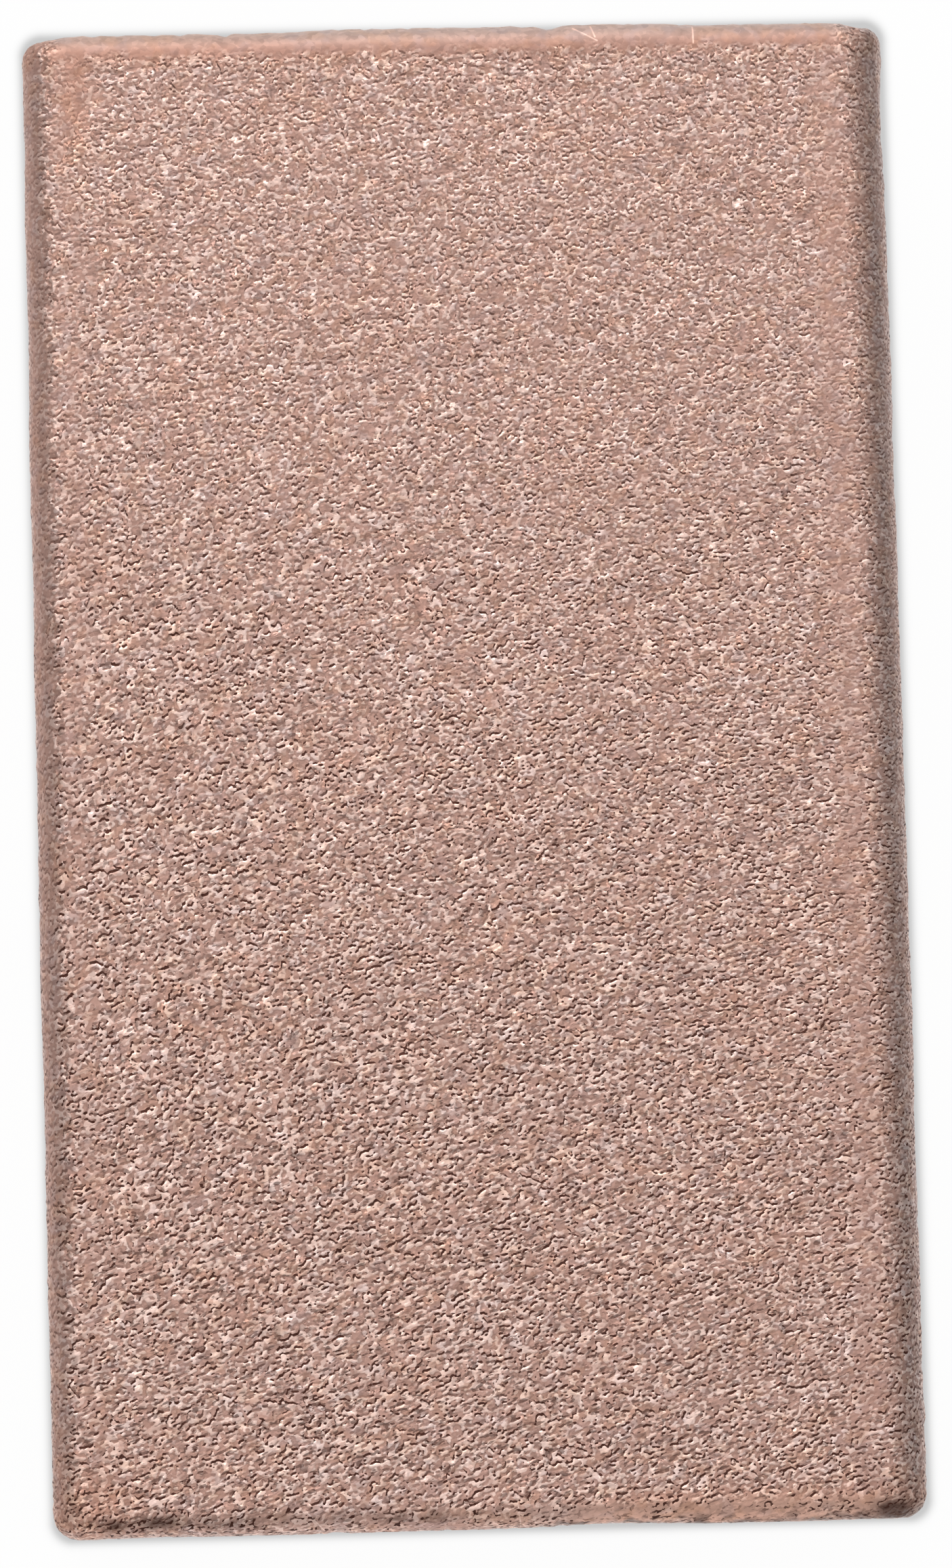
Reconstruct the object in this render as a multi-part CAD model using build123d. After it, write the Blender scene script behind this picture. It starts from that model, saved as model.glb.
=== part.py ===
from build123d import *

import os

# A small copper ingot: one solid bar of copper, cropped from rough stock.
#
# The bar lies flat on its broad face. X runs across it, Y along it and Z up, with
# the origin at the centre of the face it rests on. Sizes are in millimetres.
#
# Its section is a flat rectangle whose long edges are rounded, the right-hand ones
# more than the left-hand ones. Both cut ends have a small rolled lip all the way
# round, where cropping pressed the edge over.

# Overall size of the bar
ingot_length = 76.2
ingot_width = 44.0
ingot_thickness = 15.2

# Rounding of the long edges, seen from above with +Y away from the viewer
left_edge_radius = 1.7
right_edge_radius = 2.25

# Rolled lip round each cut end
end_lip_radius = 1.25

# A lip stays a little smaller than the rounded edge that it runs over
lip_share_of_edge = 0.97


def bar_section():
    """Face of the bar's cross-section, in the XZ plane, resting on Z = 0."""
    with BuildSketch(Plane.XZ) as section:
        Rectangle(ingot_width, ingot_thickness, align=(Align.CENTER, Align.MIN))
        fillet(section.vertices().group_by(Axis.X)[0], left_edge_radius)
        fillet(section.vertices().group_by(Axis.X)[-1], right_edge_radius)
    return section.sketch


def ingot():
    """The whole bar: its section run along Y, then a lip rolled round each end."""
    bar = extrude(bar_section(), amount=ingot_length / 2, both=True)
    end_faces = bar.faces().filter_by(Axis.Y)
    lip_radius = min(end_lip_radius, lip_share_of_edge * min(left_edge_radius, right_edge_radius))
    return fillet(end_faces.edges(), lip_radius)


def main():
    os.makedirs("parts", exist_ok=True)
    export_step(ingot(), "parts/ingot.step")


main()
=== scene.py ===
import math
from collections import namedtuple

import bpy
import numpy as np
from mathutils import Euler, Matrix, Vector, noise


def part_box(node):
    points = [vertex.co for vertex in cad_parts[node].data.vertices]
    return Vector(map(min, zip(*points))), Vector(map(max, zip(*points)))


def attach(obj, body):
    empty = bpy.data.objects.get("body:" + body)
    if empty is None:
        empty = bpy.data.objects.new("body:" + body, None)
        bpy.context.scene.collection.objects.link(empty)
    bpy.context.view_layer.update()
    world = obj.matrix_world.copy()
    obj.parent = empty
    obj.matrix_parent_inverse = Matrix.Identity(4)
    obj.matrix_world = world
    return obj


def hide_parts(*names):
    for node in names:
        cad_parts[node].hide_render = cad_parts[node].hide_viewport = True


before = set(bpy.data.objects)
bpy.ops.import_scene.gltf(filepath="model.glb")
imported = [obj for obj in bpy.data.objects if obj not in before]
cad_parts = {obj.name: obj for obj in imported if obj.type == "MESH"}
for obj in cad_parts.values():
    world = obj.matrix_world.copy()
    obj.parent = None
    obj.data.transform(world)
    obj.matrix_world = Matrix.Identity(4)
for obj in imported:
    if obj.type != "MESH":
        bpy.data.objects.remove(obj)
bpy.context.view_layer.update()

# A small copper ingot with a coarse pebbled skin, lying on a pale floor.
# One closed mesh stands for the bar. Its skin is pressed inwards from the bar's
# plain surface, so it never leaves the bar's box. Lengths are in metres, except
# those of the marks, the hollows and the pattern, which are in millimetres.

MM = 0.001
bar_low, bar_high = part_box("ingot")
half_width_mm = bar_high.x / MM
half_length_mm = bar_high.y / MM
top_mm = bar_high.z / MM

# Rounding of the bar, as in its source
left_edge_radius = 1.7 * MM
right_edge_radius = 2.25 * MM
end_lip_radius = 1.25 * MM

# Mesh: spacing of the points, how far they slide about as a share of it, the most
# triangles that the finished skin has, and how little the normal rises at points
# that count as hidden
point_spacing = 0.225 * MM
point_jitter = 0.28
jitter_seed = 7
triangle_budget = 196000
hidden_normal_rise = 0.15

# Relief of the skin. Each height is for noise that runs from -1 to 1, and the
# skin lies this far below the plain surface on average. Worn places lose a share of
# it, and where faces are narrow it is limited by their width.
skin_clearance = 0.02 * MM
mean_depth = 0.075 * MM
grain_height = 0.070 * MM
dent_height = 0.030 * MM
swell_height = 0.070 * MM
relief_worn_away = 0.85
relief_in_narrow_faces = 1.3

# The grain is drawn out along streaks that lean from the bar's width
streak_lean = math.radians(12)
streak_stretch = 1.3

# Noises: the size of their features in millimetres, and a seed. Each seed moves
# its noise by this much.
seed_shift = Vector((17.3, 5.1, 9.7))
grain_noise = (0.40, 1)
dent_noise = (1.2, 2)
swell_noise = (6.0, 3)
fine_wobble_noise = (0.55, 4)
broad_wobble_noise = (2.4, 5)
wander_noise = (2.6, 6)
lip_patch_noise = (2.2, 7)
patch_noise = (0.6, 8)
mottle_noise = (0.7, 9)
cloud_noise = (4.5, 11)
ragged_noise = (0.42, 12)

# In what follows, lengths are in millimetres. A fade is the pair of places between
# which a mark goes from nothing to full. A band is its middle, its reach and its
# strength. Both are measured from a face of the bar, or from its middle along X or Y.

# Wear of the lips at the two ends. The right half of the near lip has worn patches.
wear_down_fade = (1.6, 1.0)
fine_wobble = 0.35
broad_wobble = 0.25
lip_left_fade = (1.4, 2.4)
lip_right_fade = (1.9, 3.1)
far_lip_fade = (1.75, 1.25)
near_lip_fade = (1.6, 0.7)
near_lip_wobble = 1.6
near_lip_x_fade = (-14.0, 0.0)
near_lip_left_wear = 0.15
near_lip_right_wear = 0.05
near_lip_patch_wear = 0.5
lip_patch_fade = (0.0, 0.35)
lip_patch_x_fade = (2.0, 12.0)
lip_patch_rise = 0.35

# Wear of the far left corner, along the long edges and in small patches
worn_corner_band = (-19.4, 1.1, 0.5)
worn_corner_y_fade = (31.0, 34.5)
worn_corner_wobble = 4
left_strip_band = (2.25, 0.45, 0.35)
right_strip_band = (3.05, 0.75, 0.45)
strip_wander = 0.9
strip_wander_stretch = (0.2, 1, 0.2)
left_rounding_band = (0.25, 0.75, 0.65)
right_rounding_band = (0.25, 0.85, 0.4)
patch_fade = (0.33, 0.50)
patch_wear = 0.5

# How far down the ends the painted highlights, the stains and painted shade, and the tints of the lips go
lip_marks_down_fade = (3.0, 1.6)

# Painted highlights: the outer part of the far lip drawn in paler copper, and the near lip drawn in the
# chips' pale colour
far_highlight_side_fade = (1.2, 2.4)
far_highlight_end_fade = (1.45, 0.15)
near_highlight_side_fade = (1.0, 2.0)
near_highlight_end_fade = (1.7, 0.7)
near_highlight_x_fade = (-2.0, 6.0)
near_highlight_least = 0.15
near_highlight_gain = 0.35

# Painted shade on the roundings along the long edges: darker, greyer bands that stand in for the dim
# surroundings they reflect
shade_down_fade = (4.0, 2.0)
right_shade_band = (0.68, 0.62, 1.0)
left_shade_band = (0.6, 0.6, 0.3)

# Stains: blotches as their middle, their reach along X and Y and their strength. A dark patch at the near
# right corner is given in the same way.
blotches = (
    ((-18.8, -37.4), (0.6, 0.35), 1.0),
    ((-16.6, -37.3), (1.1, 0.4), 1.0),
    ((-13.0, -37.4), (1.6, 0.35), 0.6),
)
blotch_mottle_fade = (-0.5, 0.1)
dark_corner_spot = ((20.1, -37.65), (0.95, 0.5), 1.7)
dark_corner_mottle_fade = (-1.2, -0.5)

# Close to the near end: a dark line and dark specks along the rim of its right half, which are painted shade
# where the lip turns down away from the light, and more dark specks at its middle
right_half_x_fade = (1.0, 4.0)
line_width = 0.12
line_widening = 0.25
line_widening_x_fade = (15.0, 18.0)
line_softness = 0.15
line_mottle_fade = (-0.5, 0.0)
line_darkness = 0.7
speck_end_fade = (0.6, 0.3)
speck_mottle_fade = (0.0, 0.3)
speck_darkness = 0.85
middle_speck_x_band = (-4.5, 3.0, 0.6)
middle_speck_end_band = (0.75, 0.22, 1.0)
middle_speck_mottle_fade = (-0.2, 0.1)

# Orange tints
warm_far_fade = (2.6, 1.4)
warm_far_least = 0.45
warm_far_gain = 0.3
warm_far_x_fade = (-6.0, -14.0)
warm_corner_band = (-19.2, 0.9, 0.8)
warm_corner_y_fade = (28.0, 34.0)
warm_near_left = ((-20.0, -36.6), (3.0, 2.4), 1.0)
warm_near_x_fade = (1.0, 8.0)
warm_near_end_fade = (2.4, 1.0)
cloud_fade = (0.0, 0.5)
cloud_warmth = 0.25

# Hollows of the outline: where they begin to act near an end or a side, their bands
# along the ends, and slopes that lead down to the far corners
end_fade = (4.0, 1.0)
side_fade = (3.0, 1.5)
far_bands = (
    (-20.7, 0.8, 0.20),
    (20.6, 0.8, 0.22),
    (4.9, 0.55, 0.22),
    (-11.6, 0.3, 0.12),
)
far_left_fade, far_left_depth = (-6.0, -9.0), 0.10
far_right_fade, far_right_depth = (9.5, 13.0), 0.11
near_bands = (
    (6.0, 3.2, 0.15),
    (-17.0, 2.4, 0.06),
    (-7.5, 0.5, 0.10),
)
right_hollow_band = (32.5, 3.0, 0.13)
left_bow_depth = 0.07
near_raggedness = 0.17
far_raggedness = 0.7 * near_raggedness
ragged_stretch = (1, 0, 0.4)


# Section and stations of the bar


def section_side(length, first_radius, second_radius, count):
    """Points along one side of the section, from the middle of one corner to the middle of the next.

    Gives, for each point, its share of the way along the straight and the angle of
    its normal from the side's own.
    """
    first_arc, second_arc = first_radius * math.pi / 4, second_radius * math.pi / 4
    straight = length - first_radius - second_radius
    total = first_arc + straight + second_arc
    points = []
    for step in range(count):
        walked = total * step / count
        if walked < first_arc:
            points.append((0.0, (walked - first_arc) / first_radius))
        elif walked < first_arc + straight:
            points.append(((walked - first_arc) / straight, 0.0))
        else:
            points.append((1.0, (walked - first_arc - straight) / second_radius))
    return points


def section_loop(spacing):
    """The section's outline as points and outward normals, anticlockwise from its lower left corner."""
    x0, z0, x1, z1 = bar_low.x, bar_low.z, bar_high.x, bar_high.z
    left, right = left_edge_radius, right_edge_radius
    centres = [
        (x0 + left, z0 + left, left),
        (x1 - right, z0 + right, right),
        (x1 - right, z1 - right, right),
        (x0 + left, z1 - left, left),
    ]
    width_count = round((x1 - x0) / spacing)
    height_count = round((z1 - z0) / spacing)
    places, normals = [], []
    for side in range(4):
        first, second = centres[side], centres[(side + 1) % 4]
        across = side % 2 == 0
        length = (x1 - x0) if across else (z1 - z0)
        facing = math.radians(90 * side - 90)
        count = width_count if across else height_count
        for along, turn in section_side(length, first[2], second[2], count):
            angle = facing + turn
            normal = np.array([math.cos(angle), math.sin(angle)])
            start = np.array(first[:2]) + first[2] * normal
            end = np.array(second[:2]) + second[2] * normal
            places.append(start + (end - start) * along)
            normals.append(normal)
    return np.array(places), np.array(normals), width_count, height_count


def stations(spacing):
    """Places along the bar, each with its inset from the full section and the lean of its normal."""
    half = (bar_high.y - bar_low.y) / 2
    lip_steps = round(end_lip_radius * math.pi / 2 / spacing)
    body_steps = round(2 * (half - end_lip_radius) / spacing)
    lean = np.concatenate([
        -np.linspace(math.pi / 2, 0, lip_steps, endpoint=False),
        np.zeros(body_steps),
        np.linspace(0, math.pi / 2, lip_steps + 1),
    ])
    straight = np.concatenate([
        np.full(lip_steps, -1.0),
        np.linspace(-1, 1, body_steps, endpoint=False),
        np.full(lip_steps + 1, 1.0),
    ])
    along = straight * (half - end_lip_radius) + end_lip_radius * np.sin(lean)
    inset = end_lip_radius * (1 - np.cos(lean))
    return along, inset, lean


# Marks on the skin, as shares from 0 to 1 for each point


Distances = namedtuple("Distances", "left right near far top")


def distances(points_mm):
    """How far each point lies inside five faces of the bar."""
    x, y, z = points_mm.T
    return Distances(
        left=half_width_mm + x,
        right=half_width_mm - x,
        near=half_length_mm + y,
        far=half_length_mm - y,
        top=top_mm - z,
    )


def smooth_step(low, high, value):
    """0 below low, 1 above high and a smooth rise between."""
    share = np.clip((value - low) / (high - low), 0, 1)
    return share * share * (3 - 2 * share)


def hump(value, middle, reach):
    """1 at the middle, falling smoothly to nothing a little beyond its reach."""
    return np.exp(-(((value - middle) / reach) ** 2))


def band(value, middle, reach, strength):
    """A hump of this strength."""
    return strength * hump(value, middle, reach)


def spot(points_mm, middle, reach, strength):
    """A hump along both X and Y."""
    x, y, _ = points_mm.T
    return strength * hump(x, middle[0], reach[0]) * hump(y, middle[1], reach[1])


def noise_field(points_mm, pitch_mm, seed):
    """Smooth noise, from about -1 to 1, at each of the points."""
    shift = seed_shift * seed
    return np.array([noise.noise(Vector(p) / pitch_mm + shift) for p in points_mm])


def along_streaks(points_mm):
    """The points turned so that streaks run along X, and squeezed along them."""
    x, y, z = points_mm.T
    across = (x * math.cos(streak_lean) + y * math.sin(streak_lean)) / streak_stretch
    return np.column_stack([across, y * math.cos(streak_lean) - x * math.sin(streak_lean), z])


def from_above(away):
    """1 on the upper face and its roundings, falling to 0 a little way down the walls."""
    return smooth_step(*lip_marks_down_fade, away.top)


def worn_lips(points_mm, away, wobble):
    """How worn the lips at the two ends are."""
    x = points_mm[:, 0]
    within = smooth_step(*lip_left_fade, away.left - wobble)
    within *= smooth_step(*lip_right_fade, away.right - wobble)
    far_lip = smooth_step(*far_lip_fade, away.far + wobble)
    patch_heights = noise_field(points_mm, *lip_patch_noise)
    patch_heights += lip_patch_rise * smooth_step(*lip_patch_x_fade, x)
    patches = smooth_step(*lip_patch_fade, patch_heights)
    right_wear = near_lip_right_wear + near_lip_patch_wear * patches
    near_lip = smooth_step(*near_lip_fade, away.near + near_lip_wobble * wobble)
    near_lip *= near_lip_left_wear + right_wear * smooth_step(*near_lip_x_fade, x)
    return within * np.maximum(far_lip, near_lip)


def worn_long_edges(points_mm, away):
    """How worn the roundings of the long edges and the strips beside them are."""
    wander = strip_wander * noise_field(points_mm * strip_wander_stretch, *wander_noise)
    return np.maximum.reduce([
        band(away.right + wander, *right_strip_band),
        band(away.left + wander, *left_strip_band),
        band(away.right, *right_rounding_band),
        band(away.left, *left_rounding_band),
    ])


def worn_share(points_mm):
    """How smooth the skin is worn."""
    x, y, _ = points_mm.T
    away = distances(points_mm)
    wobble = fine_wobble * noise_field(points_mm, *fine_wobble_noise)
    wobble += broad_wobble * noise_field(points_mm, *broad_wobble_noise)
    corner = band(x, *worn_corner_band) * smooth_step(*worn_corner_y_fade, y + worn_corner_wobble * wobble)
    patches = patch_wear * smooth_step(*patch_fade, noise_field(along_streaks(points_mm), *patch_noise))
    lips = worn_lips(points_mm, away, wobble)
    smooth = np.maximum.reduce([lips, corner, worn_long_edges(points_mm, away), patches])
    return smooth_step(*wear_down_fade, away.top) * smooth * (1 - stain_and_shade_share(points_mm))


def far_lip_highlight_share(points_mm):
    """How much painted highlight lies on the skin: the outer part of the far lip, drawn in paler copper."""
    away = distances(points_mm)
    within = smooth_step(*far_highlight_side_fade, np.minimum(away.left, away.right))
    return from_above(away) * within * smooth_step(*far_highlight_end_fade, away.far)


def near_lip_highlight_share(points_mm):
    """How much painted highlight lies on the near lip, drawn in the chips' pale colour: most on its right
    half.
    """
    away = distances(points_mm)
    within = smooth_step(*near_highlight_side_fade, np.minimum(away.left, away.right))
    strength = near_highlight_least + near_highlight_gain * smooth_step(*near_highlight_x_fade, points_mm[:, 0])
    return from_above(away) * within * smooth_step(*near_highlight_end_fade, away.near) * strength


def shaded_share(points_mm):
    """How much painted shade lies on the roundings along the long edges, most at the right."""
    away = distances(points_mm)
    sides = np.maximum(band(away.right, *right_shade_band), band(away.left, *left_shade_band))
    return smooth_step(*shade_down_fade, away.top) * sides


def stain_and_shade_share(points_mm):
    """How dark the near lip is: stain blotches, a dark patch at its right corner, painted shade as a line
    and specks along the rim of its right half, and dark specks at its middle.
    """
    x = points_mm[:, 0]
    away = distances(points_mm)
    mottle = noise_field(points_mm, *mottle_noise)
    right_half = smooth_step(*right_half_x_fade, x)

    patches = np.maximum.reduce([spot(points_mm, *blotch) for blotch in blotches])
    patches *= smooth_step(*blotch_mottle_fade, mottle)
    dark_corner_patch = np.minimum(1, spot(points_mm, *dark_corner_spot) * smooth_step(*dark_corner_mottle_fade, mottle))
    width = line_width + line_widening * smooth_step(*line_widening_x_fade, x)
    line = line_darkness * right_half * smooth_step(width + line_softness, width, away.near)
    line *= smooth_step(*line_mottle_fade, mottle)
    specks = speck_darkness * right_half * smooth_step(*speck_end_fade, away.near)
    specks *= smooth_step(*speck_mottle_fade, mottle)
    middle_specks = band(x, *middle_speck_x_band) * band(away.near, *middle_speck_end_band)
    middle_specks *= smooth_step(*middle_speck_mottle_fade, mottle)
    return from_above(away) * np.maximum.reduce([patches, dark_corner_patch, line, specks, middle_specks])


def warm_share(points_mm):
    """How orange the skin is: most on the lips and at the left corners, a little in soft clouds."""
    x, y, _ = points_mm.T
    away = distances(points_mm)
    far_strength = warm_far_least + warm_far_gain * smooth_step(*warm_far_x_fade, x)
    lips = np.maximum.reduce([
        smooth_step(*warm_far_fade, away.far) * far_strength,
        band(x, *warm_corner_band) * smooth_step(*warm_corner_y_fade, y),
        spot(points_mm, *warm_near_left),
        smooth_step(*warm_near_x_fade, x) * smooth_step(*warm_near_end_fade, away.near),
    ])
    clouds = cloud_warmth * smooth_step(*cloud_fade, noise_field(points_mm, *cloud_noise))
    return np.maximum(from_above(away) * lips, clouds)


# Marks stored on the skin for the material. The far and near lip highlights and the shaded bands on the
# roundings are painted light, and the stains along the near rim are partly painted shade.
skin_marks = {
    "worn": worn_share,
    "far_lip_highlight": far_lip_highlight_share,
    "near_lip_highlight": near_lip_highlight_share,
    "stain_and_shade": stain_and_shade_share,
    "warm": warm_share,
    "shaded": shaded_share,
}


# Hollows of the outline, and the skin's relief


def hollows_along(value, bands):
    """Depth of all the hollows of an end, at each place along it."""
    return sum(band(value, *hollow) for hollow in bands)


def edge_shifts(points_mm):
    """How far hollows and dents move the bar's ends and sides, as vectors in millimetres."""
    x, y, _ = points_mm.T
    away = distances(points_mm)
    ragged = np.maximum(0, noise_field(points_mm * ragged_stretch, *ragged_noise))

    near_depth = hollows_along(x, near_bands) + near_raggedness * ragged
    far_depth = hollows_along(x, far_bands) + far_raggedness * ragged
    far_depth += far_left_depth * smooth_step(*far_left_fade, x)
    far_depth += far_right_depth * smooth_step(*far_right_fade, x)
    left_bow = left_bow_depth * (y / half_length_mm) ** 2

    along = smooth_step(*end_fade, away.near) * near_depth - smooth_step(*end_fade, away.far) * far_depth
    left_side, right_side = smooth_step(*side_fade, away.left), smooth_step(*side_fade, away.right)
    across = left_side * left_bow - right_side * band(y, *right_hollow_band)
    return np.column_stack([across, along, np.zeros(len(x))])


def relief(places):
    """Depth of the skin below the bar's plain surface, for each point, in metres."""
    points_mm = places / MM
    roughness = 1 - relief_worn_away * worn_share(points_mm)
    grain = noise_field(along_streaks(points_mm), *grain_noise)
    dents = noise_field(along_streaks(points_mm), *dent_noise)
    swell = noise_field(points_mm, *swell_noise)
    heights = roughness * (grain_height * grain + dent_height * dents) + swell_height * swell
    return np.maximum(0, mean_depth - heights)


# The mesh


def cap_grid(ring, width_count, height_count):
    """Inner points of an end face, spread evenly between the four sides of its outline."""
    corners = [0, width_count, width_count + height_count, 2 * width_count + height_count]
    bottom = ring[corners[0]:corners[1] + 1]
    right = ring[corners[1]:corners[2] + 1]
    top = ring[corners[2]:corners[3] + 1][::-1]
    left = np.vstack([ring[corners[3]:], ring[:1]])[::-1]
    u = np.linspace(0, 1, width_count + 1)[:, None, None]
    v = np.linspace(0, 1, height_count + 1)[None, :, None]
    rows = (1 - v) * bottom[:, None] + v * top[:, None]
    columns = (1 - u) * left[None] + u * right[None]
    mixed = (
        (1 - u) * (1 - v) * bottom[0] + u * (1 - v) * bottom[-1]
        + (1 - u) * v * top[0] + u * v * top[-1]
    )
    return rows + columns - mixed


def cap_indices(first_ring, first_inner, width_count, height_count):
    """Number of each point of an end face's grid, its border taken from the ring."""
    size = 2 * (width_count + height_count)
    inner_shape = width_count - 1, height_count - 1
    grid = np.zeros((width_count + 1, height_count + 1), int)
    grid[1:-1, 1:-1] = first_inner + np.arange(inner_shape[0] * inner_shape[1]).reshape(inner_shape)
    steps = np.arange(size) + first_ring
    corners = [width_count, width_count + height_count, 2 * width_count + height_count]
    grid[:, 0] = steps[:corners[0] + 1]
    grid[-1, :] = steps[corners[0]:corners[1] + 1]
    grid[:, -1] = steps[corners[1]:corners[2] + 1][::-1]
    grid[0, :] = np.append(steps[corners[2]:], steps[0])[::-1]
    return grid


def grid_faces(grid):
    """Four-sided faces of a grid of point numbers."""
    return np.stack([grid[:-1, :-1], grid[1:, :-1], grid[1:, 1:], grid[:-1, 1:]], -1).reshape(-1, 4)


def skin_arrays():
    """Points, normals and faces of the bar's plain surface."""
    section, section_normals, width_count, height_count = section_loop(point_spacing)
    along, inset, lean = stations(point_spacing)
    size, rows = len(section), len(along)
    places = np.zeros((rows, size, 3))
    places[..., 0] = section[:, 0] - inset[:, None] * section_normals[:, 0]
    places[..., 1] = along[:, None]
    places[..., 2] = section[:, 1] - inset[:, None] * section_normals[:, 1]
    normals = np.zeros((rows, size, 3))
    normals[..., 0] = section_normals[:, 0] * np.cos(lean)[:, None]
    normals[..., 1] = np.sin(lean)[:, None]
    normals[..., 2] = section_normals[:, 1] * np.cos(lean)[:, None]

    numbers = np.arange(rows * size).reshape(rows, size)
    loop = np.hstack([numbers, numbers[:, :1]])
    faces = [grid_faces(loop)]
    points, facing = [places.reshape(-1, 3)], [normals.reshape(-1, 3)]
    count = rows * size
    for row, sign in ((0, -1.0), (rows - 1, 1.0)):
        inner = cap_grid(places[row], width_count, height_count)[1:-1, 1:-1].reshape(-1, 3)
        grid = cap_indices(row * size, count, width_count, height_count)
        faces.append(grid_faces(grid) if sign < 0 else grid_faces(grid)[:, ::-1])
        points.append(inner)
        facing.append(np.tile([0.0, sign, 0.0], (len(inner), 1)))
        count += len(inner)
    return np.vstack(points), np.vstack(facing), np.vstack(faces)


def split_quads(quads, draws):
    """Two triangles for each face, cut along either diagonal."""
    turned = np.where(draws.random(len(quads))[:, None] < 0.5, quads, np.roll(quads, 1, axis=1))
    return np.vstack([turned[:, [0, 1, 2]], turned[:, [0, 2, 3]]])


def shortest_edges(places, quads):
    """Length of the shortest edge at each point."""
    shortest = np.full(len(places), point_spacing)
    for first, second in ((0, 1), (1, 2), (2, 3), (3, 0)):
        starts, ends = quads[:, first], quads[:, second]
        lengths = np.linalg.norm(places[starts] - places[ends], axis=1)
        np.minimum.at(shortest, starts, lengths)
        np.minimum.at(shortest, ends, lengths)
    return shortest


def make_skin():
    """The bar's pebbled skin, as one closed mesh."""
    draws = np.random.default_rng(jitter_seed)
    places, normals, quads = skin_arrays()
    room = shortest_edges(places, quads)[:, None]
    slide = draws.uniform(-1, 1, places.shape) * room * point_jitter
    slide -= normals * np.sum(slide * normals, axis=1, keepdims=True)
    places = places + slide
    fullness = np.minimum(1, relief_in_narrow_faces * room / point_spacing)
    depth = skin_clearance + relief(places)[:, None] * fullness
    skin = places + edge_shifts(places / MM) * MM - normals * depth
    mesh = bpy.data.meshes.new("copper_skin")
    mesh.from_pydata(skin.tolist(), [], split_quads(quads, draws).tolist())
    mesh.update()
    piece = bpy.data.objects.new("copper_skin", mesh)
    bpy.context.scene.collection.objects.link(piece)
    return piece, normals


def thin_hidden_sides(piece, normals):
    """Takes triangles from the underside, the walls and the ends, so that the whole keeps to its budget."""
    group = piece.vertex_groups.new(name="hidden")
    for number in np.flatnonzero(normals[:, 2] < hidden_normal_rise).tolist():
        group.add([number], 1.0, "REPLACE")
    thin = piece.modifiers.new("thin", "DECIMATE")
    thin.vertex_group = group.name
    thin.vertex_group_factor = 1.0
    thin.ratio = triangle_budget / len(piece.data.polygons)
    bpy.context.view_layer.update()
    graph = bpy.context.evaluated_depsgraph_get()
    thinned = bpy.data.meshes.new_from_object(piece.evaluated_get(graph))
    piece.modifiers.clear()
    piece.vertex_groups.clear()
    piece.data = thinned

    low, high = np.array(bar_low) + skin_clearance, np.array(bar_high) - skin_clearance
    inside = point_places(thinned).clip(low, high)
    thinned.vertices.foreach_set("co", inside.ravel())
    thinned.update()


def point_places(mesh):
    """Places of the points of a mesh."""
    places = np.empty(3 * len(mesh.vertices))
    mesh.vertices.foreach_get("co", places)
    return places.reshape(-1, 3)


def mark_skin(mesh):
    """Stores each kind of mark on the points of the skin, for the material."""
    points_mm = point_places(mesh) / MM
    for name, share in skin_marks.items():
        mesh.attributes.new(name, "FLOAT", "POINT").data.foreach_set("value", share(points_mm))


# Materials

# Colours of bare copper, as linear red, green and blue
flat_copper = (0.515, 0.312, 0.257)
# Pale colour of the chips, the near lip and the scratches: a painted highlight
pale_highlight_copper = (0.88, 0.645, 0.565)
# Dark colour of the crevices: painted shade
crevice_shade_brown = (0.075, 0.030, 0.022)
# Dark brown of the stains, and of the painted shade along the near rim
stain_and_shade_brown = (0.13, 0.075, 0.06)
# Paler copper of the far lip's painted highlight
far_lip_highlight_copper = (0.59, 0.465, 0.425)

# Tints that are laid over them. The last two lie in soft clouds of this strength, the sky tint being a
# painted bluish reflection, and each cell of the pattern is a little darker or brighter.
warm_tint = (1.02, 0.925, 0.85)
# Painted shade for the roundings along the long edges
shade_tint = (0.60, 0.66, 0.69)
ochre_tint = (1.02, 0.88, 0.68)
sky_reflection_tint = (0.90, 1.04, 1.22)
cloud_tint = 0.25
ochre_fade = (0.56, 0.68)
sky_reflection_fade = (0.56, 0.70)
tone_spread = (0.88, 1.12)

# Features of the pattern in a millimetre, and the detail of its noises
chips_per_mm = 5.6
chip_detail = 0.3
cracks_per_mm = 5.4
crack_detail = 1.0
crack_stretch = (0.6, 1, 1)
crack_offset = (31, 7, 3)
cells_per_mm = 4.2
clouds_per_mm = 1.3

# The pattern changes from the far part of the bar to the near part, given as (far, near)
pattern_reach = (32.0, -30.0)
pattern_lean = (math.radians(4), math.radians(22))
pattern_stretch = (1.15, 1.4)
crevice_strength = (0.66, 1.25)
chip_strength = (0.88, 1.12)

# Chips begin between these heights of noise. Crevices are of two kinds: the undercut beside a chip, darkened
# as painted shade on its side away from the light, and cracks, darkened as painted shade in recesses.
chip_limits = (0.47, 0.57)
undercut_width = 0.11
undercut_limits = (0.08, 0.5)
crack_limits = (0.34, 0.42)
crack_strength = 0.5

# Each cell has its own draw from 0 to 1. Between the first two values of a luck,
# its strength goes from the third to the fourth.
chip_luck = (0.1, 0.7, 0.3, 1.0)
crevice_luck = (0.3, 0.8, 0.15, 1.2)

# Scratches on the lips, as the places of their two ends
scratches = (
    ((12.2, 37.7), (12.2, 36.8)),
    ((6.1, 37.7), (7.3, 37.0)),
    ((7.0, 37.8), (7.2, 37.2)),
    ((-9.25, -37.0), (-8.4, -37.9)),
    ((1.2, -36.4), (1.4, -38.0)),
)
scratch_half_width = 0.07

# Bump, tilt of the facets and roughness
crevice_depth = 0.36
pattern_bump = 0.07 * MM
facet_tilt = 0.33
plain_roughness = 0.39
crevice_roughness = 0.12
worn_roughness = 0.2

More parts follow.
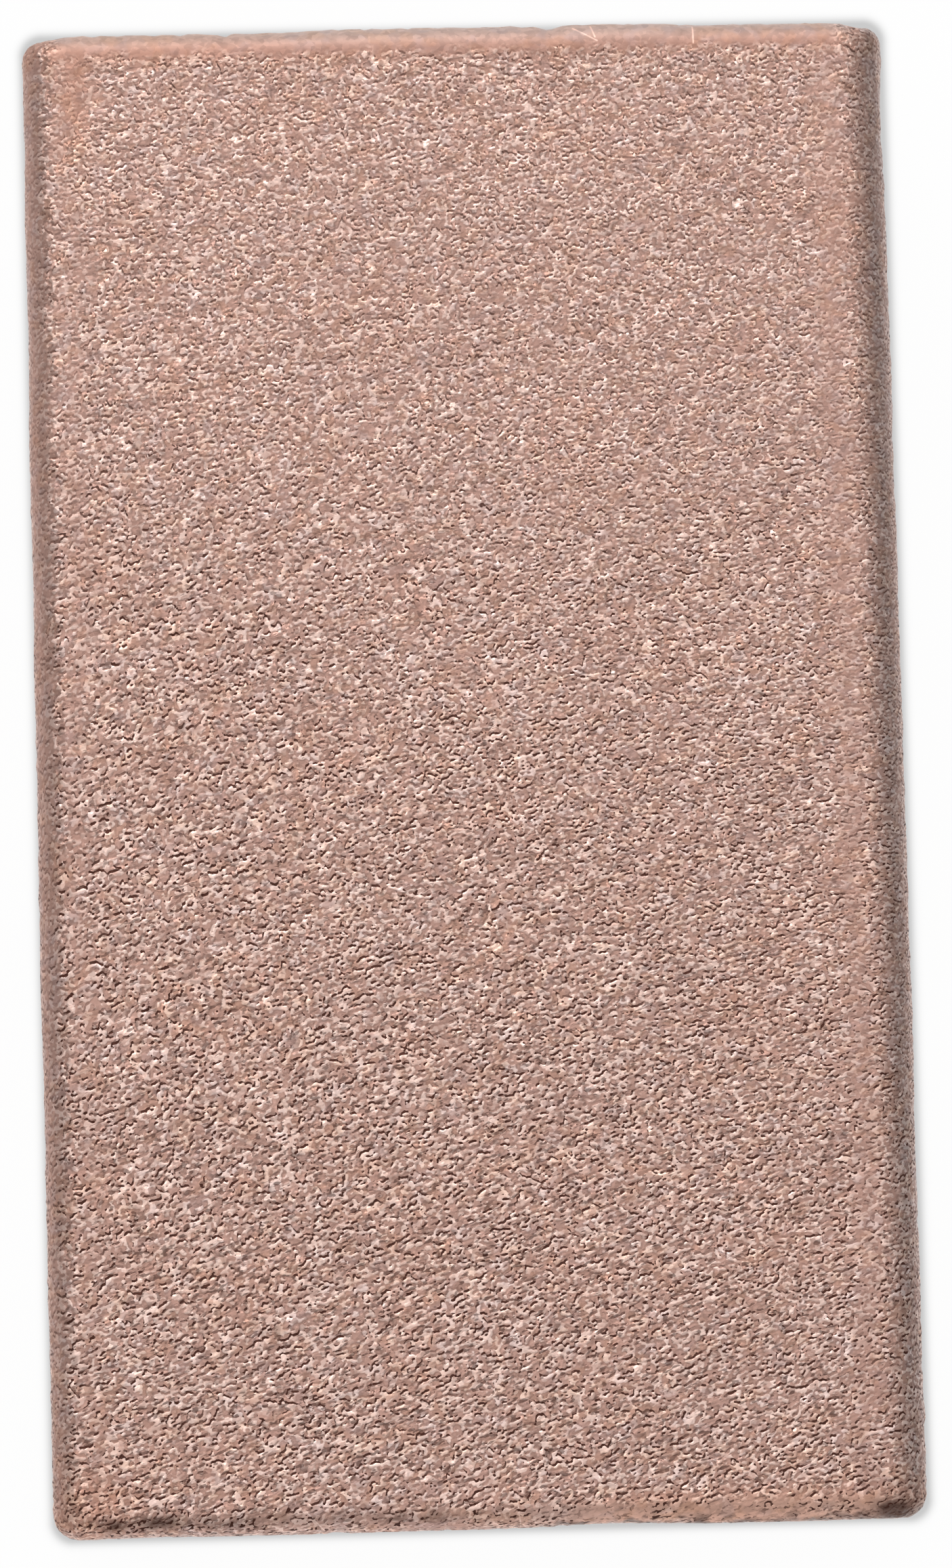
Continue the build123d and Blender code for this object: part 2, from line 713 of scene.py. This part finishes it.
# Floor: half its width, the rectangle that the painted soft shadow starts from, the painted shadow's
# darkness and reach, and how much of the real shadow shows
floor_half_size = 2.0
contact_middle = (0.565 * MM, 1.275 * MM)
contact_half_size = (22.555 * MM, 39.245 * MM)
contact_rounding = 0.9 * MM
contact_depth = 0.42
contact_reach = 0.36 * MM
real_shadow_share = 0.04


def add(tree, kind, inputs=(), **settings):
    """A node of this kind, with its settings, and its inputs given as values or as sockets."""
    node = tree.nodes.new(kind)
    for name, value in settings.items():
        setattr(node, name, value)
    for name, value in dict(inputs).items():
        if isinstance(value, bpy.types.NodeSocket):
            tree.links.new(value, node.inputs[name])
        else:
            node.inputs[name].default_value = value
    return node


def maths(tree, operation, *values, clamp=False):
    """The result of one sum on sockets or numbers."""
    node = add(tree, "ShaderNodeMath", enumerate(values), operation=operation, use_clamp=clamp)
    return node.outputs[0]


def rise(tree, value, low, high, start=0.0, end=1.0):
    """start below low, end above high and a smooth change between."""
    node = add(
        tree, "ShaderNodeMapRange",
        {"Value": value, "From Min": low, "From Max": high, "To Min": start, "To Max": end},
        interpolation_type="SMOOTHSTEP",
    )
    return node.outputs["Result"]


def between(tree, share, ends):
    """A value that goes from the first end to the second as the share goes from 0 to 1."""
    return add(tree, "ShaderNodeMapRange", {"Value": share, "To Min": ends[0], "To Max": ends[1]}).outputs[0]


def empty_material(name):
    """A material with only its output node."""
    material = bpy.data.materials.new(name)
    material.use_nodes = True
    tree = material.node_tree
    tree.nodes.clear()
    return material, tree, tree.nodes.new("ShaderNodeOutputMaterial")


def scaled(tree, vector, share):
    """A vector times a number."""
    return add(tree, "ShaderNodeVectorMath", {0: vector, 3: share}, operation="SCALE").outputs[0]


def joined(tree, operation, first, second):
    """The result of one sum on two vectors."""
    return add(tree, "ShaderNodeVectorMath", {0: first, 1: second}, operation=operation).outputs[0]


def length_of(tree, vector):
    """The length of a vector."""
    return add(tree, "ShaderNodeVectorMath", {0: vector}, operation="LENGTH").outputs["Value"]


def mixed(tree, share, first, second, blend="MIX"):
    """A colour between two colours."""
    node = add(tree, "ShaderNodeMix", {0: share}, data_type="RGBA", blend_type=blend)
    for number, colour in ((6, first), (7, second)):
        if isinstance(colour, bpy.types.NodeSocket):
            tree.links.new(colour, node.inputs[number])
        else:
            node.inputs[number].default_value = (*colour, 1)
    return node.outputs[2]


def tinted(tree, share, colour, tint):
    """A colour with a share of a tint laid over it."""
    return mixed(tree, share, colour, tint, "MULTIPLY")


def noise_of(tree, where, per_mm, detail=0.0):
    """The outputs of a noise with this many features in a millimetre."""
    return add(tree, "ShaderNodeTexNoise", {"Vector": where, "Scale": per_mm, "Detail": detail}).outputs


def channels(tree, colour):
    """The three parts of a colour."""
    return add(tree, "ShaderNodeSeparateColor", {0: colour}).outputs


def pattern_space(tree, place_mm):
    """Coordinates for the pattern, and the share of the way to the near end.

    They lean and are drawn out more towards the near end.
    """
    along = add(tree, "ShaderNodeSeparateXYZ", {0: place_mm}).outputs[1]
    nearness = rise(tree, along, *pattern_reach)
    lean = between(tree, nearness, (-pattern_lean[0], -pattern_lean[1]))
    turn = add(tree, "ShaderNodeVectorRotate", {"Vector": place_mm, "Angle": lean}, rotation_type="Z_AXIS")
    x, y, z = add(tree, "ShaderNodeSeparateXYZ", {0: turn.outputs[0]}).outputs
    squeeze = between(tree, nearness, (1 / pattern_stretch[0], 1 / pattern_stretch[1]))
    drawn_out = add(tree, "ShaderNodeCombineXYZ", {0: maths(tree, "MULTIPLY", x, squeeze), 1: y, 2: z})
    return drawn_out.outputs[0], nearness


def chips_and_crevices(tree, where, nearness, coarse, lot):
    """Chips, each with a thin crevice along its far side, and the height of the two together. The chips are
    drawn pale as painted highlights, and the crevices dark as painted shade: the undercut at each chip's far
    side, facing away from the light beyond the far end, and the cracks.
    """
    here = noise_of(tree, where, chips_per_mm, chip_detail)[0]
    nearer = joined(tree, "ADD", where, (0, -undercut_width, 0))
    below = noise_of(tree, nearer, chips_per_mm, chip_detail)[0]
    chip, chip_below = rise(tree, here, *chip_limits), rise(tree, below, *chip_limits)

    strength = maths(tree, "MULTIPLY", coarse, between(tree, nearness, crevice_strength))
    undercut = rise(tree, maths(tree, "SUBTRACT", chip_below, chip), *undercut_limits)
    undercut = maths(tree, "MULTIPLY", undercut, rise(tree, lot[1], *crevice_luck))
    apart = joined(tree, "ADD", joined(tree, "MULTIPLY", where, crack_stretch), crack_offset)
    crack_noise = noise_of(tree, apart, cracks_per_mm, crack_detail)[0]
    cracks = rise(tree, crack_noise, *crack_limits, crack_strength, 0.0)
    crevice = maths(tree, "MULTIPLY", maths(tree, "MAXIMUM", undercut, cracks), strength, clamp=True)

    height = maths(tree, "MULTIPLY_ADD", crevice, -crevice_depth, here)
    chip = maths(tree, "MULTIPLY", chip, rise(tree, lot[2], *chip_luck))
    chip = maths(tree, "MULTIPLY", chip, between(tree, nearness, chip_strength))
    return maths(tree, "MULTIPLY", chip, coarse), crevice, height


def skin_colour(tree, where, chip, crevice, lot, marks):
    """Colour of the skin: painted highlights on the chips and the lips, painted shade in the crevices, on
    the roundings and along the near rim, tints, a painted bluish reflection, and stains.
    """
    clouds = channels(tree, noise_of(tree, where, clouds_per_mm)[1])
    # Painted highlight: the outer part of the far lip in paler copper
    colour = mixed(tree, marks["far_lip_highlight"], flat_copper, far_lip_highlight_copper)
    # Painted highlights: the chips and the near lip in pale copper
    colour = mixed(tree, maths(tree, "MAXIMUM", chip, marks["near_lip_highlight"]), colour, pale_highlight_copper)
    colour = tinted(tree, rise(tree, clouds[2], *ochre_fade, 0.0, cloud_tint), colour, ochre_tint)
    # Painted reflection: a bluish tint of the sky in soft clouds
    colour = tinted(tree, rise(tree, clouds[1], *sky_reflection_fade, 0.0, cloud_tint), colour, sky_reflection_tint)
    colour = tinted(tree, marks["warm"], colour, warm_tint)
    # Painted shade on the roundings along the long edges
    colour = tinted(tree, marks["shaded"], colour, shade_tint)
    colour = scaled(tree, colour, between(tree, lot[0], tone_spread))
    # Stains, and painted shade along the near rim, in dark brown
    colour = mixed(tree, marks["stain_and_shade"], colour, stain_and_shade_brown)
    # Painted shade: the crevices darkened
    return mixed(tree, crevice, colour, crevice_shade_brown)


def scratches_share(tree, place_mm):
    """1 along the middle of each scratch, falling to 0 at its side."""
    flat_place = joined(tree, "MULTIPLY", place_mm, (1, 1, 0))
    total = 0.0
    for start, end in scratches:
        run = Vector(end) - Vector(start)
        pace = (*run / run.length_squared, 0)
        from_start = joined(tree, "SUBTRACT", flat_place, (*start, 0))
        walk = add(tree, "ShaderNodeVectorMath", {0: from_start, 1: pace}, operation="DOT_PRODUCT")
        step = maths(tree, "MINIMUM", walk.outputs["Value"], 1.0)
        step = maths(tree, "MAXIMUM", step, 0.0)
        offset = joined(tree, "SUBTRACT", from_start, scaled(tree, (*run, 0), step))
        scratch = rise(tree, length_of(tree, offset), scratch_half_width, 0.0)
        total = maths(tree, "MAXIMUM", scratch, total)
    return total


def tilted_normal(tree, cells, coarse, height):
    """The surface's normal, tilted by each cell's own draw and by the pattern's height."""
    facing = tree.nodes.new("ShaderNodeNewGeometry").outputs["Normal"]
    lean = joined(tree, "SUBTRACT", cells, (0.5, 0.5, 0.5))
    tilt = scaled(tree, lean, maths(tree, "MULTIPLY", coarse, facet_tilt))
    tilted = joined(tree, "ADD", facing, tilt)
    tilted = add(tree, "ShaderNodeVectorMath", {0: tilted}, operation="NORMALIZE").outputs[0]
    bump = add(
        tree, "ShaderNodeBump",
        {"Height": height, "Strength": coarse, "Distance": pattern_bump, "Normal": tilted},
    )
    return bump.outputs["Normal"]


def copper_material():
    """Bare copper: small tilted facets, and chips and crevices drawn pale and dark as painted highlight and
    painted shade, smooth where it is worn.
    """
    material, tree, output = empty_material("pebbled_copper")
    place = tree.nodes.new("ShaderNodeTexCoord").outputs["Object"]
    place_mm = scaled(tree, place, 1 / MM)
    marks = {
        name: add(tree, "ShaderNodeAttribute", attribute_name=name).outputs["Fac"]
        for name in skin_marks
    }
    coarse = maths(tree, "SUBTRACT", 1.0, marks["worn"])
    where, nearness = pattern_space(tree, place_mm)
    cells = add(tree, "ShaderNodeTexVoronoi", {"Vector": where, "Scale": cells_per_mm}).outputs["Color"]
    lot = channels(tree, cells)
    chip, crevice, height = chips_and_crevices(tree, where, nearness, coarse, lot)
    chip = maths(tree, "MAXIMUM", chip, scratches_share(tree, place_mm))

    roughness = maths(tree, "MULTIPLY_ADD", crevice, crevice_roughness, plain_roughness)
    shader = add(
        tree, "ShaderNodeBsdfPrincipled",
        {
            "Base Color": skin_colour(tree, where, chip, crevice, lot, marks),
            "Metallic": 1.0,
            "Roughness": maths(tree, "MULTIPLY_ADD", marks["worn"], worn_roughness, roughness),
            "Normal": tilted_normal(tree, cells, coarse, height),
        },
    )
    tree.links.new(shader.outputs[0], output.inputs["Surface"])
    return material


def painted_shadow_share(tree):
    """Strength of the painted soft shadow round the bar: 1 on the rounded rectangle, fading outwards from
    it.
    """
    place = tree.nodes.new("ShaderNodeTexCoord").outputs["Object"]
    from_middle = joined(tree, "SUBTRACT", place, (*contact_middle, 0))
    straight = [half - contact_rounding for half in contact_half_size]
    beyond = joined(tree, "SUBTRACT", joined(tree, "ABSOLUTE", from_middle, from_middle), (*straight, 0))
    beyond = length_of(tree, joined(tree, "MAXIMUM", beyond, (0, 0, 0)))
    distance = maths(tree, "MAXIMUM", maths(tree, "SUBTRACT", beyond, contact_rounding), 0.0)
    spread = maths(tree, "POWER", maths(tree, "DIVIDE", distance, contact_reach), 2.0)
    return maths(tree, "EXPONENT", maths(tree, "MULTIPLY", spread, -1.0))


def floor_material():
    """White floor with the bar's faint real shadow and a painted soft shadow close round the bar, seen only
    by the camera.
    """
    material, tree, output = empty_material("pale_floor")
    path = tree.nodes.new("ShaderNodeLightPath")
    seen = maths(tree, "MULTIPLY", path.outputs["Is Camera Ray"], 1 - real_shadow_share)
    seen = maths(tree, "ADD", seen, path.outputs["Is Glossy Ray"], clamp=True)
    plain = add(tree, "ShaderNodeBsdfDiffuse", {"Color": (1, 1, 1, 1)}).outputs[0]
    # Painted shadow: a grey border on the floor round the bar, for camera rays only
    painted_border_shadow = maths(tree, "MULTIPLY", painted_shadow_share(tree), path.outputs["Is Camera Ray"])
    strength = maths(tree, "MULTIPLY_ADD", painted_border_shadow, -contact_depth, 1.0)
    white = add(tree, "ShaderNodeEmission", {"Strength": strength}).outputs[0]
    mix = add(tree, "ShaderNodeMixShader", {0: seen, 1: plain, 2: white})
    tree.links.new(mix.outputs[0], output.inputs["Surface"])
    return material


# The stage, the light and the camera

# Brightness of the surroundings, what is left of it low down at each side, and
# how far sideways that dimming begins
surroundings_level = 0.6
right_dimming = 0.8
left_dimming = 0.9
dimming_start = 0.4

# Lamps: place, width and height, and brightness
overhead_place = (0.0, 0.2, 1.0)
overhead_size = (0.9, 1.4)
overhead_radiance = 0.45
key_place = (-0.2, 0.9, 0.7)
key_size = (0.8, 0.6)
key_radiance = 3.2

# Camera: the place on the bar's top that it looks at, its distance and its angles
camera_aim = Vector((0.13 * MM, -0.78 * MM, bar_high.z))
eye_distance = 386.9 * MM
lean_to_near_end = math.radians(5.55)
lean_to_left = math.radians(-2.281)
camera_turn = math.radians(-1.328)
lens_length = 176.8
sensor_width = 36.0
clip_distances = (0.01, 10.0)


def make_floor():
    """A large flat floor that the bar rests on."""
    half = floor_half_size
    mesh = bpy.data.meshes.new("floor")
    corners = [(-half, -half, 0), (half, -half, 0), (half, half, 0), (-half, half, 0)]
    mesh.from_pydata(corners, [], [(0, 1, 2, 3)])
    floor = bpy.data.objects.new("floor", mesh)
    floor.location.z = bar_low.z
    floor.data.materials.append(floor_material())
    bpy.context.scene.collection.objects.link(floor)


def area_lamp(name, place, size, radiance):
    """A soft lamp of even brightness that faces the middle of the floor."""
    light = bpy.data.lights.new(name, "AREA")
    light.shape = "RECTANGLE"
    width, height = size
    light.size, light.size_y = width, height
    light.energy = radiance * math.pi * width * height
    lamp = bpy.data.objects.new(name, light)
    lamp.location = place
    lamp.rotation_euler = (Vector() - Vector(place)).to_track_quat("-Z", "Y").to_euler()
    lamp.visible_camera = False
    bpy.context.scene.collection.objects.link(lamp)


def make_surroundings():
    """Even white surroundings, a little darker low down at the right and the left."""
    world = bpy.data.worlds.new("surroundings")
    world.use_nodes = True
    tree = world.node_tree
    background = tree.nodes["Background"]
    background.inputs["Color"].default_value = (1, 1, 1, 1)
    direction = tree.nodes.new("ShaderNodeTexCoord").outputs["Generated"]
    sideways = add(tree, "ShaderNodeSeparateXYZ", {0: direction}).outputs[0]
    right = rise(tree, sideways, dimming_start, 1.0, 1.0, right_dimming)
    left = rise(tree, sideways, -dimming_start, -1.0, surroundings_level, surroundings_level * left_dimming)
    tree.links.new(maths(tree, "MULTIPLY", left, right), background.inputs["Strength"])
    bpy.context.scene.world = world


def make_light():
    """A broad soft lamp overhead and a brighter one beyond the far end."""
    area_lamp("overhead", overhead_place, overhead_size, overhead_radiance)
    area_lamp("key", key_place, key_size, key_radiance)


def make_camera():
    """Looks down on the bar, a little from its near end and its left side."""
    data = bpy.data.cameras.new("camera")
    data.lens = lens_length
    data.sensor_width = sensor_width
    data.clip_start, data.clip_end = clip_distances
    camera = bpy.data.objects.new("camera", data)
    camera.rotation_mode = "ZYX"
    camera.rotation_euler = Euler((lean_to_near_end, lean_to_left, camera_turn), "ZYX")
    back = camera.rotation_euler.to_matrix() @ Vector((0, 0, 1))
    camera.location = camera_aim + back * eye_distance
    bpy.context.scene.collection.objects.link(camera)
    bpy.context.scene.camera = camera


make_camera()
ingot, ingot_normals = make_skin()
thin_hidden_sides(ingot, ingot_normals)
mark_skin(ingot.data)
ingot.data.materials.append(copper_material())
ingot.data.shade_smooth()
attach(ingot, "root")
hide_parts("ingot")
make_floor()
make_surroundings()
make_light()

bpy.context.scene.view_settings.view_transform = "Standard"
